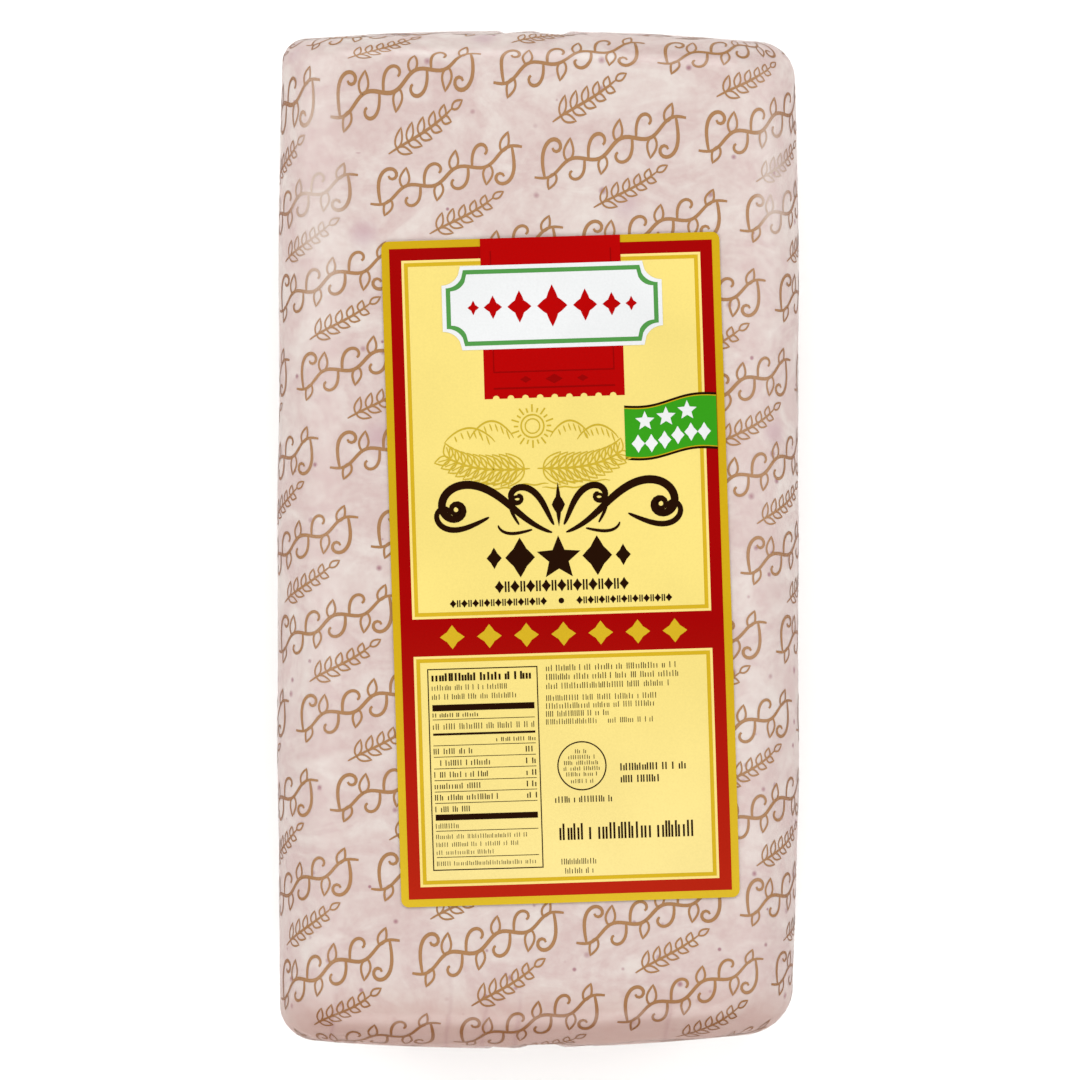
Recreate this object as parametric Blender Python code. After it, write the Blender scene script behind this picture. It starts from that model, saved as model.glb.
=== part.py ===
"""A pressed cooked ham in a printed casing that is gathered and clipped at both ends, with a label on top.

The loaf lies on its broad lower face, z = 0, with its length along Y and the label's foot towards -Y. All
sizes are in metres. The skin is one surface worked out from two distances: around the section and along the
loaf.
"""

import math

import bmesh
import bpy
import numpy as np

# Driving sizes of the loaf
LENGTH = 0.3245
WIDTH = 0.167
HEIGHT = 0.111
SECTION_CORNER = 0.024
TOP_CROWN = 0.0020
SIDE_CROWN = 0.0012

# Sizes at the -X and at the +X side of each end: the radius of its edge, and how much the body narrows there
FAR_EDGE = (0.0065, 0.0105)
NEAR_EDGE = (0.0105, 0.0130)
FAR_TAPER = (0.0017, 0.0011)
NEAR_TAPER = (0.0005, 0.0017)

# Domed ends: how far they fall away across the loaf and up and down, and where they stand highest
FAR_FALL_ACROSS = 0.0031
NEAR_FALL_ACROSS = 0.0039
END_FALL_UP = 0.0022
FAR_PEAK_X = -0.010
NEAR_PEAK_X = -0.015

# Lengths of casing along the loaf, from the middle outwards. The body keeps its true length over its first
# stretch and has no pleats over the next. Then come the quarter round at the edge and the face up to the neck
PLAIN_BODY = 0.118
SMOOTH_BODY = 0.124
BODY = 0.146
EDGE = 0.020
FACE = 0.052

# Gathered closure at the middle of each end
DIMPLE_DEPTH = 0.0095
DIMPLE_FLOOR = 0.0090
DIMPLE_RIM = 0.0220
NECK_RADIUS = 0.0034
NECK_LENGTH = 0.0054
TAIL_RADIUS = 0.0086
TAIL_FLARE = 0.0024
TAIL_RIM = 0.0014
TAIL_LIP = 0.0030

# Pleats of the casing: their number, their depth at the end's edge, on its face, at the neck and on the tail's
# rim, how unevenly they are spaced, and where they start round each end
PLEATS = 16
PLEAT_AT_EDGE = 0.00025
PLEAT_ON_FACE = 0.0011
PLEAT_AT_NECK = 0.00025
PLEAT_ON_RIM = 0.0016
PLEAT_UNEVEN = 0.5
FAR_PLEAT_PHASE = 0.7
NEAR_PLEAT_PHASE = 2.3

# Clip of round wire round each neck
WIRE_RADIUS = 0.0010
CLIP_RADIUS = 0.0050
CLIP_TURNS = 1.15
CLIP_PITCH = 0.0023
CLIP_STAND = 0.0016
CLIP_STEPS_PER_TURN = 20
CLIP_START = math.radians(70)

# Label, wrapped on the upper face
LABEL_WIDTH = 0.1070
LABEL_LENGTH = 0.2106
LABEL_CORNER = 0.0024
LABEL_CENTRE = (0.0070, -0.0095)
LABEL_TURN = math.radians(1.77)
LABEL_GAP = 0.0003
LABEL_THICKNESS = 0.0003

# The outward direction's Z below which the skin is the plain flat base, and above which it is fully uneven
BASE_NORMAL = -0.95
OFF_BASE_NORMAL = -0.6

# How finely the faceted skin is divided
AROUND_STEPS = 96
BODY_STATIONS = 10
EDGE_STATIONS = 5
FACE_STATIONS = (0.16, 0.34, 0.52, 0.66, 0.78, 0.88, 0.95)
LABEL_STEPS = (12, 20)
LABEL_CORNER_ANGLES = (30, 60, 84)

HALF_LENGTH = LENGTH / 2
HALF_WIDTH = WIDTH / 2 - SIDE_CROWN
HALF_HEIGHT = (HEIGHT - TOP_CROWN) / 2
FLAT_X = HALF_WIDTH - SECTION_CORNER
FLAT_Z = HALF_HEIGHT - SECTION_CORNER
QUARTER_ARC = math.pi / 2 * SECTION_CORNER
GIRTH = 4 * FLAT_X + 4 * FLAT_Z + 4 * QUARTER_ARC
NECK_START = BODY + EDGE + FACE
FLARE_START = NECK_START + NECK_LENGTH
RIM_START = FLARE_START + TAIL_FLARE
LIP_START = RIM_START + TAIL_RIM
TIP = LIP_START + TAIL_RADIUS

# The pleats' depth along the loaf, deepest on the face a little before the neck
FULL_PLEAT = NECK_START - 0.016
PLEAT_PLACES = (SMOOTH_BODY, BODY + EDGE, FULL_PLEAT, NECK_START, FLARE_START, RIM_START, TIP)
PLEAT_DEPTHS = (0.0, PLEAT_AT_EDGE, PLEAT_ON_FACE, PLEAT_AT_NECK, PLEAT_AT_NECK, PLEAT_ON_RIM, 0.0)

# The tail's radius, and its height over the dimple's floor, at the five places where its outline turns
TAIL_PLACES = (NECK_START, FLARE_START, RIM_START, LIP_START, TIP)
TAIL_RADII = (NECK_RADIUS, NECK_RADIUS, TAIL_RADIUS * 0.9, TAIL_RADIUS, 0.0)
TAIL_TOP = NECK_LENGTH + TAIL_FLARE + TAIL_RIM
TAIL_RISES = (0.0, NECK_LENGTH, NECK_LENGTH + TAIL_FLARE, TAIL_TOP, TAIL_TOP - TAIL_LIP)

# Slow unevenness of the pressed meat: height, waves round the section, waves along the loaf, phase
SWELLS = (
    (0.00022, 3, 2.1, 0.4),
    (0.00016, 5, -3.3, 2.2),
    (0.00012, 8, 4.7, 4.1),
)

COLOURS = {
    "casing": (0.745, 0.604, 0.558, 1.0),
    "label": (0.955, 0.790, 0.260, 1.0),
    "clip": (0.800, 0.805, 0.815, 1.0),
}


def smooth(low, high, value):
    """0 below low, 1 above high, and an easy curve between."""
    share = np.clip((value - low) / (high - low), 0.0, 1.0)
    return share * share * (3 - 2 * share)


def section(around, inset):
    """Point and outward direction on the section, with its rounded rectangle drawn in by inset.

    around is the distance round the full section from the middle of the top face, positive towards +X. The
    arcs' centres stay where they are, so an inset only shortens their radius.
    """
    side = np.where(around < 0, -1.0, 1.0)
    gone = np.abs(around)
    along_top = np.clip(gone, 0, FLAT_X)
    first_turn = np.clip((gone - FLAT_X) / QUARTER_ARC, 0, 1)
    down_side = np.clip(gone - FLAT_X - QUARTER_ARC, 0, 2 * FLAT_Z)
    second_turn = np.clip((gone - FLAT_X - QUARTER_ARC - 2 * FLAT_Z) / QUARTER_ARC, 0, 1)
    back_under = np.clip(gone - FLAT_X - 2 * QUARTER_ARC - 2 * FLAT_Z, 0, FLAT_X)
    turn = (first_turn + second_turn) * math.pi / 2
    radius = SECTION_CORNER - inset
    x = side * (along_top - back_under + radius * np.sin(turn))
    z = FLAT_Z - down_side + radius * np.cos(turn)
    return x, z, side * np.sin(turn), np.cos(turn)


def from_side_to_side(far_sizes, near_sizes, x, far):
    """A size at x, running evenly from its value at the -X side to its value at the +X side of that end."""
    share = (x / HALF_WIDTH + 1) / 2
    at_far = far_sizes[0] + (far_sizes[1] - far_sizes[0]) * share
    at_near = near_sizes[0] + (near_sizes[1] - near_sizes[0]) * share
    return np.where(far, at_far, at_near)


def end_height(x, z, far):
    """How far the domed end stands from the middle of the loaf, over the point x, z of the section."""
    peak = np.where(far, FAR_PEAK_X, NEAR_PEAK_X)
    fall = np.where(far, FAR_FALL_ACROSS, NEAR_FALL_ACROSS)
    across = ((x - peak) / HALF_WIDTH) ** 2
    return HALF_LENGTH - fall * across - END_FALL_UP * (z / HALF_HEIGHT) ** 2


def swell(around, along):
    """Slow unevenness of the meat, the same again after one turn round the section."""
    height = 0.0
    for tall, round_waves, long_waves, phase in SWELLS:
        angle = 2 * math.pi * (round_waves * around / GIRTH + long_waves * along / LENGTH) + phase
        height = height + tall * np.sin(angle)
    return height


def pleat(around, gone, far):
    """Folds of the gathered casing: deepest on the tail's rim, slight at the neck, and gone on the body."""
    phase = np.where(far, FAR_PLEAT_PHASE, NEAR_PLEAT_PHASE)
    turn = 2 * math.pi * around / GIRTH
    wave = PLEATS * turn + PLEAT_UNEVEN * np.sin(3 * turn + phase) + phase
    return np.interp(gone, PLEAT_PLACES, PLEAT_DEPTHS) * np.cos(wave)


def skin(around, along):
    """Points of the casing. around is measured from the top face's middle and along from the loaf's middle.

    Along the loaf come the body, a quarter round at the edge, the end face drawn in to the neck, and the tail.
    """
    around, along = np.broadcast_arrays(np.asarray(around, float), np.asarray(along, float))
    far = along > 0
    outward = np.where(far, 1.0, -1.0)
    gone = np.abs(along)
    bend = np.clip((gone - BODY) / EDGE, 0, 1) * math.pi / 2
    full_x, full_z, normal_x, normal_z = section(around, 0.0)
    off_base = smooth(BASE_NORMAL, OFF_BASE_NORMAL, normal_z)
    taper = from_side_to_side(FAR_TAPER, NEAR_TAPER, full_x, far) * (np.clip(gone, 0, BODY) / BODY) ** 3
    radius = from_side_to_side(FAR_EDGE, NEAR_EDGE, full_x, far)
    inset = radius * (1 - np.cos(bend))
    x, z, _, _ = section(around, taper * off_base + inset)

    crown = TOP_CROWN * np.clip(normal_z, 0, 1) ** 2 * (1 - (full_x / HALF_WIDTH) ** 2)
    crown = crown + SIDE_CROWN * normal_x**2 * (1 - (full_z / HALF_HEIGHT) ** 2)
    fold = pleat(around, gone, far)
    proud = (crown + (swell(around, along) + fold) * off_base) * np.cos(bend)
    x = x + proud * normal_x
    z = z + proud * normal_z

    body_end = end_height(x, z, far) - radius
    stretch = smooth(PLAIN_BODY, BODY, gone) * (body_end - BODY)
    y = np.clip(gone, 0, BODY) + stretch + radius * np.sin(bend)

    reach = np.hypot(x, z)
    drawn_in = np.clip((gone - BODY - EDGE) / FACE, 0, 1)
    spread = NECK_RADIUS + (reach - NECK_RADIUS) * (1 - drawn_in)
    tail = gone > NECK_START
    spread = np.where(tail, np.interp(gone, TAIL_PLACES, TAIL_RADII) + fold, spread)
    x, z = x * spread / reach, z * spread / reach

    dimple = DIMPLE_DEPTH * (1 - smooth(DIMPLE_FLOOR, DIMPLE_RIM, spread))
    on_face = end_height(x, z, far) - dimple + fold * np.sin(bend)
    floor = end_height(0.0, 0.0, far) - DIMPLE_DEPTH
    y = np.where(gone > BODY + EDGE, on_face, y)
    y = np.where(tail, floor + np.interp(gone, TAIL_PLACES, TAIL_RISES), y)
    return np.stack([x, outward * y, z + HALF_HEIGHT], axis=-1)


def raised(around, along, lift):
    """Points of the casing raised by lift along its normal, which comes from small steps both ways."""
    step = 0.0002
    across = skin(around + step, along) - skin(around - step, along)
    lengthways = skin(around, along + step) - skin(around, along - step)
    normal = np.cross(across, lengthways)
    normal /= np.linalg.norm(normal, axis=-1, keepdims=True)
    return skin(around, along) + lift * normal


def stations():
    """Distances along the loaf where the faceted skin has a ring, from one tail's lip to the other's."""
    half = list(np.linspace(0, BODY, BODY_STATIONS // 2 + 1)[1:])
    half += [BODY + EDGE * k / EDGE_STATIONS for k in range(1, EDGE_STATIONS + 1)]
    half += [BODY + EDGE + FACE * share for share in FACE_STATIONS]
    half += [NECK_START, FLARE_START, (FLARE_START + RIM_START) / 2, RIM_START, LIP_START]
    half += [(LIP_START + TIP) / 2]
    return [-value for value in reversed(half)] + [0.0] + half


def finished(name, mesh, colour, roughness, metallic=0.0):
    """Adds an object for the mesh, shaded smooth, with a material of its own."""
    mesh.shade_smooth()
    mesh.set_sharp_from_angle(angle=math.radians(50))
    material = bpy.data.materials.new(name)
    material.use_nodes = True
    surface = material.node_tree.nodes["Principled BSDF"]
    surface.inputs["Base Color"].default_value = colour
    surface.inputs["Roughness"].default_value = roughness
    surface.inputs["Metallic"].default_value = metallic
    mesh.materials.append(material)
    obj = bpy.data.objects.new(name, mesh)
    bpy.context.scene.collection.objects.link(obj)
    return obj


def make_wrapped_ham():
    """The loaf in its casing: rings round the section, bridged from end to end and closed in each tail."""
    around = GIRTH * (np.arange(AROUND_STEPS) / AROUND_STEPS - 0.5)
    form = bmesh.new()
    rings = [[form.verts.new(point) for point in skin(around, along)] for along in stations()]
    for ring, following in zip(rings, rings[1:]):
        for k in range(AROUND_STEPS):
            after = (k + 1) % AROUND_STEPS
            form.faces.new((ring[k], ring[after], following[after], following[k]))
    for ring, along in ((rings[0], -TIP), (rings[-1], TIP)):
        tip = form.verts.new(skin(0.0, along))
        for k in range(AROUND_STEPS):
            form.faces.new((ring[k], ring[(k + 1) % AROUND_STEPS], tip))
    bmesh.ops.recalc_face_normals(form, faces=form.faces)
    mesh = bpy.data.meshes.new("wrapped_ham")
    form.to_mesh(mesh)
    form.free()
    return finished("wrapped_ham", mesh, COLOURS["casing"], 0.25)


def label_outline(across, length):
    """Label coordinates in metres for shares from -1 to 1, with the four corners rounded."""
    y = length * LABEL_LENGTH / 2
    into_corner = np.clip(np.abs(y) - (LABEL_LENGTH / 2 - LABEL_CORNER), 0, LABEL_CORNER)
    half = LABEL_WIDTH / 2 - LABEL_CORNER + np.sqrt(LABEL_CORNER**2 - into_corner**2)
    return across * half, y


def label_rows():
    """Shares of the label's half length where its grid has a row, closer together in the rounded corners."""
    straight = 1 - 2 * LABEL_CORNER / LABEL_LENGTH
    rows = list(np.linspace(-straight, straight, LABEL_STEPS[1] + 1))
    corner = [straight + (1 - straight) * math.sin(math.radians(angle)) for angle in LABEL_CORNER_ANGLES]
    return np.array([-value for value in reversed(corner)] + rows + corner)


def make_label():
    """A thin sheet wrapped on the casing, thickened outwards by a Solidify modifier."""
    across, length = np.meshgrid(np.linspace(-1, 1, LABEL_STEPS[0] + 1), label_rows())
    x, y = label_outline(across, length)
    around = LABEL_CENTRE[0] + x * math.cos(LABEL_TURN) - y * math.sin(LABEL_TURN)
    along = LABEL_CENTRE[1] + x * math.sin(LABEL_TURN) + y * math.cos(LABEL_TURN)
    points = raised(around, along, LABEL_GAP)
    rows, columns = across.shape
    form = bmesh.new()
    grid = [[form.verts.new(point) for point in row] for row in points]
    for j in range(rows - 1):
        for i in range(columns - 1):
            form.faces.new((grid[j][i], grid[j][i + 1], grid[j + 1][i + 1], grid[j + 1][i]))
    mesh = bpy.data.meshes.new("label")
    form.to_mesh(mesh)
    form.free()
    label = finished("label", mesh, COLOURS["label"], 0.35)
    thicken = label.modifiers.new("thickness", "SOLIDIFY")
    thicken.thickness = LABEL_THICKNESS
    thicken.offset = 1.0
    return label


def make_clip(name, outward):
    """A bent wire clip: a little over one turn of round wire about the gathered neck."""
    curve = bpy.data.curves.new(name, "CURVE")
    curve.dimensions = "3D"
    curve.bevel_depth = WIRE_RADIUS
    curve.bevel_resolution = 2
    curve.use_fill_caps = True
    count = int(CLIP_TURNS * CLIP_STEPS_PER_TURN) + 1
    wire = curve.splines.new("POLY")
    wire.points.add(count - 1)
    floor = float(end_height(0.0, 0.0, outward > 0)) - DIMPLE_DEPTH
    for k in range(count):
        turned = k / CLIP_STEPS_PER_TURN
        angle = 2 * math.pi * turned + CLIP_START
        y = outward * (floor + CLIP_STAND + CLIP_PITCH * turned)
        x = CLIP_RADIUS * math.cos(angle)
        z = HALF_HEIGHT + CLIP_RADIUS * math.sin(angle)
        wire.points[k].co = (x, y, z, 1.0)
    helper = bpy.data.objects.new(name + "_wire", curve)
    mesh = bpy.data.meshes.new_from_object(helper)
    bpy.data.objects.remove(helper)
    mesh.materials.clear()
    return finished(name, mesh, COLOURS["clip"], 0.3, metallic=1.0)


def main():
    for obj in list(bpy.data.objects):
        bpy.data.objects.remove(obj)
    make_wrapped_ham()
    make_label()
    make_clip("clip_near", -1)
    make_clip("clip_far", 1)


main()
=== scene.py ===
"""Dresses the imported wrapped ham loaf: meat, clear casing film, casing print, printed label and wire clips.

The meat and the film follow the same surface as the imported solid, worked out from two distances: around the
section from the middle of the top face, and along the loaf from its middle. Prints are flat designs in
millimetres that are carried onto that surface.
"""

import math

import bmesh
import bpy
import numpy as np
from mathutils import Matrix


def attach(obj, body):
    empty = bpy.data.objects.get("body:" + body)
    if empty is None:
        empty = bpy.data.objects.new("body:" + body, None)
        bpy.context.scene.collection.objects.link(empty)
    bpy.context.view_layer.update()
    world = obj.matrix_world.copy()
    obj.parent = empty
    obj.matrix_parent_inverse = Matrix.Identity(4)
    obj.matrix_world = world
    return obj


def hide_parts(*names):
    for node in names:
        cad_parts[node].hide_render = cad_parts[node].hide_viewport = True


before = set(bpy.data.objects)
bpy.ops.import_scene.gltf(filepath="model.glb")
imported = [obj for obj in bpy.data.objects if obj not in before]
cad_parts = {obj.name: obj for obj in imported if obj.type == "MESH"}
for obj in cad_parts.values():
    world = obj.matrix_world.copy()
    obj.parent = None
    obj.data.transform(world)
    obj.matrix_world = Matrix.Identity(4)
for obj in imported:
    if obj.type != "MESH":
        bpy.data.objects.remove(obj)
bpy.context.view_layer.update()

bl_info = {
    "name": "Wrapped cooked ham loaf",
    "version": (1, 0, 0),
    "blender": (4, 5, 0),
    "location": "3D Viewport > Sidebar > Ham loaf",
    "description": "Meat, casing film, prints, label and wire clips of a pressed cooked ham loaf",
    "category": "Object",
}

MM = 0.001

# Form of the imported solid, with the same names and values
LENGTH = 0.3245
WIDTH = 0.167
HEIGHT = 0.111
SECTION_CORNER = 0.024
TOP_CROWN = 0.0020
SIDE_CROWN = 0.0012
FAR_EDGE = (0.0065, 0.0105)
NEAR_EDGE = (0.0105, 0.0130)
FAR_TAPER = (0.0017, 0.0011)
NEAR_TAPER = (0.0005, 0.0017)
FAR_FALL_ACROSS = 0.0031
NEAR_FALL_ACROSS = 0.0039
END_FALL_UP = 0.0022
FAR_PEAK_X = -0.010
NEAR_PEAK_X = -0.015
PLAIN_BODY = 0.118
SMOOTH_BODY = 0.124
BODY = 0.146
EDGE = 0.020
FACE = 0.052
DIMPLE_DEPTH = 0.0095
DIMPLE_FLOOR = 0.0090
DIMPLE_RIM = 0.0220
NECK_RADIUS = 0.0034
NECK_LENGTH = 0.0054
TAIL_RADIUS = 0.0086
TAIL_FLARE = 0.0024
TAIL_RIM = 0.0014
TAIL_LIP = 0.0030
PLEATS = 16
PLEAT_AT_EDGE = 0.00025
PLEAT_ON_FACE = 0.0011
PLEAT_AT_NECK = 0.00025
PLEAT_ON_RIM = 0.0016
PLEAT_UNEVEN = 0.5
FAR_PLEAT_PHASE = 0.7
NEAR_PLEAT_PHASE = 2.3
CLIP_RADIUS = 0.0050
CLIP_TURNS = 1.15
CLIP_PITCH = 0.0023
CLIP_STAND = 0.0016
CLIP_START = math.radians(70)
LABEL_CENTRE = (0.0070, -0.0095)
LABEL_GAP = 0.0003
LABEL_THICKNESS = 0.0003
BASE_NORMAL = -0.95
OFF_BASE_NORMAL = -0.6

HALF_LENGTH = LENGTH / 2
HALF_WIDTH = WIDTH / 2 - SIDE_CROWN
HALF_HEIGHT = (HEIGHT - TOP_CROWN) / 2
FLAT_X = HALF_WIDTH - SECTION_CORNER
FLAT_Z = HALF_HEIGHT - SECTION_CORNER
QUARTER_ARC = math.pi / 2 * SECTION_CORNER
GIRTH = 4 * FLAT_X + 4 * FLAT_Z + 4 * QUARTER_ARC
NECK_START = BODY + EDGE + FACE
FLARE_START = NECK_START + NECK_LENGTH
RIM_START = FLARE_START + TAIL_FLARE
LIP_START = RIM_START + TAIL_RIM
TIP = LIP_START + TAIL_RADIUS
FULL_PLEAT = NECK_START - 0.016
PLEAT_PLACES = (SMOOTH_BODY, BODY + EDGE, FULL_PLEAT, NECK_START, FLARE_START, RIM_START, TIP)
PLEAT_DEPTHS = (0.0, PLEAT_AT_EDGE, PLEAT_ON_FACE, PLEAT_AT_NECK, PLEAT_AT_NECK, PLEAT_ON_RIM, 0.0)
TAIL_PLACES = (NECK_START, FLARE_START, RIM_START, LIP_START, TIP)
TAIL_RADII = (NECK_RADIUS, NECK_RADIUS, TAIL_RADIUS * 0.9, TAIL_RADIUS, 0.0)
TAIL_TOP = NECK_LENGTH + TAIL_FLARE + TAIL_RIM
TAIL_RISES = (0.0, NECK_LENGTH, NECK_LENGTH + TAIL_FLARE, TAIL_TOP, TAIL_TOP - TAIL_LIP)
SWELLS = (
    (0.00022, 3, 2.1, 0.4),
    (0.00016, 5, -3.3, 2.2),
    (0.00012, 8, 4.7, 4.1),
)

# Where the casing is creased at its near end, in metres across
CREASES = (-0.0650, -0.0285, -0.0170, -0.0065, 0.0410)

# Where glare is painted onto the casing's print as a pale highlight: the middle of each oval and half its size in x
# and y
PRINT_GLARE_PATCHES = ((-0.0690, 0.1100, 0.0130, 0.0480), (0.0745, 0.1130, 0.0080, 0.0280))

# Where the casing's large motifs repeat, in millimetres around and along: one step on a printed line, one step
# down to the next such line, and the place of one motif. Four and a half steps on and seven and a half down
# close exactly round the girth
STEP_DOWN = np.array((13.0, -25.0))
STEP_ON = np.array(((GIRTH / MM - 7.5 * STEP_DOWN[0]) / 4.5, -7.5 / 4.5 * STEP_DOWN[1]))
FIRST_MOTIF = np.array((-42.1, 139.9))
MOTIF_TURN = 20.0
PRINT_END = (NECK_START - 0.004) / MM

# Label layers, each a ply above the one below
PLY = 0.00004
LABEL_TOP = LABEL_GAP + LABEL_THICKNESS

GRID_STEP = 2.0

# The middle of the printed design, in millimetres from the label's centre
PRINT_MIDDLE = np.array((0.6, 0.0))

# How much higher each stroke lies than the one before it, so that crossing strokes don't share a plane
STROKE_STEP = 0.0000015

# Where the red crossbar parts the label's two panels, in millimetres up from its centre
PANEL_FOOT = -14.4
LOWER_PANEL_HEAD = -26.2

# Places in the printed design, in millimetres from its middle: the ribbon's left, right and foot, the plaque's
# middle and half its size, and the flag's left and right
RIBBON = (-22.85, 21.45, 54.5)
PLAQUE = (-0.6, 83.5)
PLAQUE_HALF = (34.8, 13.3)
FLAG = (21.1, 50.3)

# The photo's frame at half the loaf's height: how far the camera is from it, its width and its middle, in metres
CAMERA_AWAY = 3.0
FRAME_WIDTH = 0.34787
FRAME_MIDDLE = (0.00056, -0.00016)


def linear(colour):
    """An sRGB hex colour such as "#E0CCC5" as linear red, green, blue and alpha."""
    values = [int(colour[k : k + 2], 16) / 255 for k in (1, 3, 5)]
    return tuple(v / 12.92 if v <= 0.04045 else ((v + 0.055) / 1.055) ** 2.4 for v in values) + (1.0,)


def length(label, meaning, default):
    """A size property in metres."""
    return bpy.props.FloatProperty(
        name=label, description=meaning, default=default, min=0.0, unit="LENGTH", precision=5
    )


def colour(label, meaning, default):
    """A colour property from its sRGB hex value."""
    return bpy.props.FloatVectorProperty(
        name=label, description=meaning, default=linear(default), size=4, min=0.0, max=1.0, subtype="COLOR"
    )


class HamSizes(bpy.types.PropertyGroup):
    film_gap: length("Film gap", "How far the meat lies under the casing film", 0.00016)
    casing_print: length("Casing print depth", "How far the casing's print lies under the film's surface", 0.00008)
    large_stroke: length("Large motif stroke", "Widest stroke of the casing's large motif", 0.00115)
    small_stroke: length("Small motif stroke", "Widest stroke of the casing's small motif", 0.00082)
    label_width: length("Label width", "Width of the label", 0.1070)
    label_length: length("Label length", "Length of the label", 0.2106)
    label_corner: length("Label corner", "Radius of the label's corners", 0.0024)
    gold_band: length("Gold band", "Width of the gold band round the label", 0.00245)
    red_band: length("Red band", "Width of the red frame inside the gold band", 0.0038)
    pale_line: length("Pale line", "Width of the pale line round each panel", 0.0008)
    gold_rule: length("Gold rule", "Width of the gold rule round each panel", 0.0012)
    wire_radius: length("Wire radius", "Radius of the clips' wire", 0.0010)
    label_turn: bpy.props.FloatProperty(
        name="Label turn",
        description="How far the label is turned on the loaf",
        default=math.radians(1.77),
        unit="ROTATION",
    )


class HamColours(bpy.types.PropertyGroup):
    lean: colour("Lean", "Pressed lean meat under the film", "#B39E9A")
    fat: colour("Fat", "Creamy smears of fat and jelly", "#C1B7B1")
    fleck: colour("Fleck", "Small dark pink flecks", "#824F5B")
    bruise: colour("Mauve spot", "Blurred mauve spots", "#A0808A")
    # Painted shade: the meat's colour where the near end turns down away from the light
    near_end_shade: colour("Near edge pink", "Deeper pink where the meat turns down at the near end", "#A5857B")
    milky: colour("Gathered film", "Film folded over itself at the ends", "#DDD3CF")
    casing_ink: colour("Casing ink", "Brown ink of the casing's print", "#8F6740")
    # Painted shade: the casing's ink where it turns down at the edges, away from the light
    shaded_edge_ink: colour("Casing ink at the edges", "The same ink where the casing turns down at the edges", "#7A4B26")
    gold: colour("Label gold", "Gold ink of the label's border", "#AC8C11")
    gold_foot: colour("Label gold at the foot", "The same gold towards the label's foot", "#B89A22")
    gold_line: colour("Label gold rule", "Gold ink of the rules and marks inside the frame", "#B2931B")
    red: colour("Label red", "Red ink of the label's frame", "#870000")
    red_foot: colour("Label red at the foot", "The same red towards the label's foot", "#981C0A")
    pale: colour("Label pale line", "Pale line round each panel", "#D1BB6F")
    cream: colour("Label cream", "Cream ink of the label's panels", "#CDBA6A")
    cream_foot: colour("Label cream at the foot", "The same cream towards the label's foot", "#CFBD7B")
    ribbon: colour("Ribbon red", "Red of the ribbon at the label's head", "#970000")
    ribbon_dark: colour("Ribbon shade", "Darker red rules on the ribbon", "#7D0000")
    black: colour("Label black", "Brown-black ink of the label's marks", "#1B0800")
    drawing: colour("Drawing gold", "Ochre line of the branches", "#AC932A")
    green: colour("Flag green", "Green of the flag", "#2C8213")
    ring: colour("Plaque green", "Green line of the plaque", "#447E3C")
    white: colour("Label white", "White of the plaque and flag marks", "#C5C6C6")
    wire: colour("Wire", "Bright aluminium wire", "#CFD0D2")
    ground: colour("Ground", "Pale ground under the loaf", "#FCFCFB")


def smooth(low, high, value):
    """0 below low, 1 above high, and an easy curve between."""
    share = np.clip((value - low) / (high - low), 0.0, 1.0)
    return share * share * (3 - 2 * share)


def section(around, inset):
    """Point and outward direction on the section, with its rounded rectangle drawn in by inset.

    The distance is taken through the half top, a quarter arc, the side, a quarter arc and the half underside,
    mirrored for the other side.
    """
    side = np.where(around < 0, -1.0, 1.0)
    gone = np.abs(around)
    along_top = np.clip(gone, 0, FLAT_X)
    first_turn = np.clip((gone - FLAT_X) / QUARTER_ARC, 0, 1)
    down_side = np.clip(gone - FLAT_X - QUARTER_ARC, 0, 2 * FLAT_Z)
    second_turn = np.clip((gone - FLAT_X - QUARTER_ARC - 2 * FLAT_Z) / QUARTER_ARC, 0, 1)
    back_under = np.clip(gone - FLAT_X - 2 * QUARTER_ARC - 2 * FLAT_Z, 0, FLAT_X)
    turn = (first_turn + second_turn) * math.pi / 2
    radius = SECTION_CORNER - inset
    x = side * (along_top - back_under + radius * np.sin(turn))
    z = FLAT_Z - down_side + radius * np.cos(turn)
    return x, z, side * np.sin(turn), np.cos(turn)


def from_side_to_side(far_sizes, near_sizes, x, far):
    """A size at x, running evenly from its value at the -X side to its value at the +X side of that end."""
    share = (x / HALF_WIDTH + 1) / 2
    at_far = far_sizes[0] + (far_sizes[1] - far_sizes[0]) * share
    at_near = near_sizes[0] + (near_sizes[1] - near_sizes[0]) * share
    return np.where(far, at_far, at_near)


def end_height(x, z, far):
    """Half the length, less a parabola across the end and another up and down it."""
    peak = np.where(far, FAR_PEAK_X, NEAR_PEAK_X)
    fall = np.where(far, FAR_FALL_ACROSS, NEAR_FALL_ACROSS)
    across = ((x - peak) / HALF_WIDTH) ** 2
    return HALF_LENGTH - fall * across - END_FALL_UP * (z / HALF_HEIGHT) ** 2


def waves(around, along, table):
    """A sum of sines whose waves are whole numbers round the section."""
    height = 0.0
    for tall, round_waves, long_waves, phase in table:
        angle = 2 * math.pi * (round_waves * around / GIRTH + long_waves * along / LENGTH) + phase
        height = height + tall * np.sin(angle)
    return height


def pleat(around, gone, far):
    """A cosine round the section, unevenly spaced, as deep as the place along the casing gives."""
    phase = np.where(far, FAR_PLEAT_PHASE, NEAR_PLEAT_PHASE)
    turn = 2 * math.pi * around / GIRTH
    wave = PLEATS * turn + PLEAT_UNEVEN * np.sin(3 * turn + phase) + phase
    return np.interp(gone, PLEAT_PLACES, PLEAT_DEPTHS) * np.cos(wave)


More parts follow.
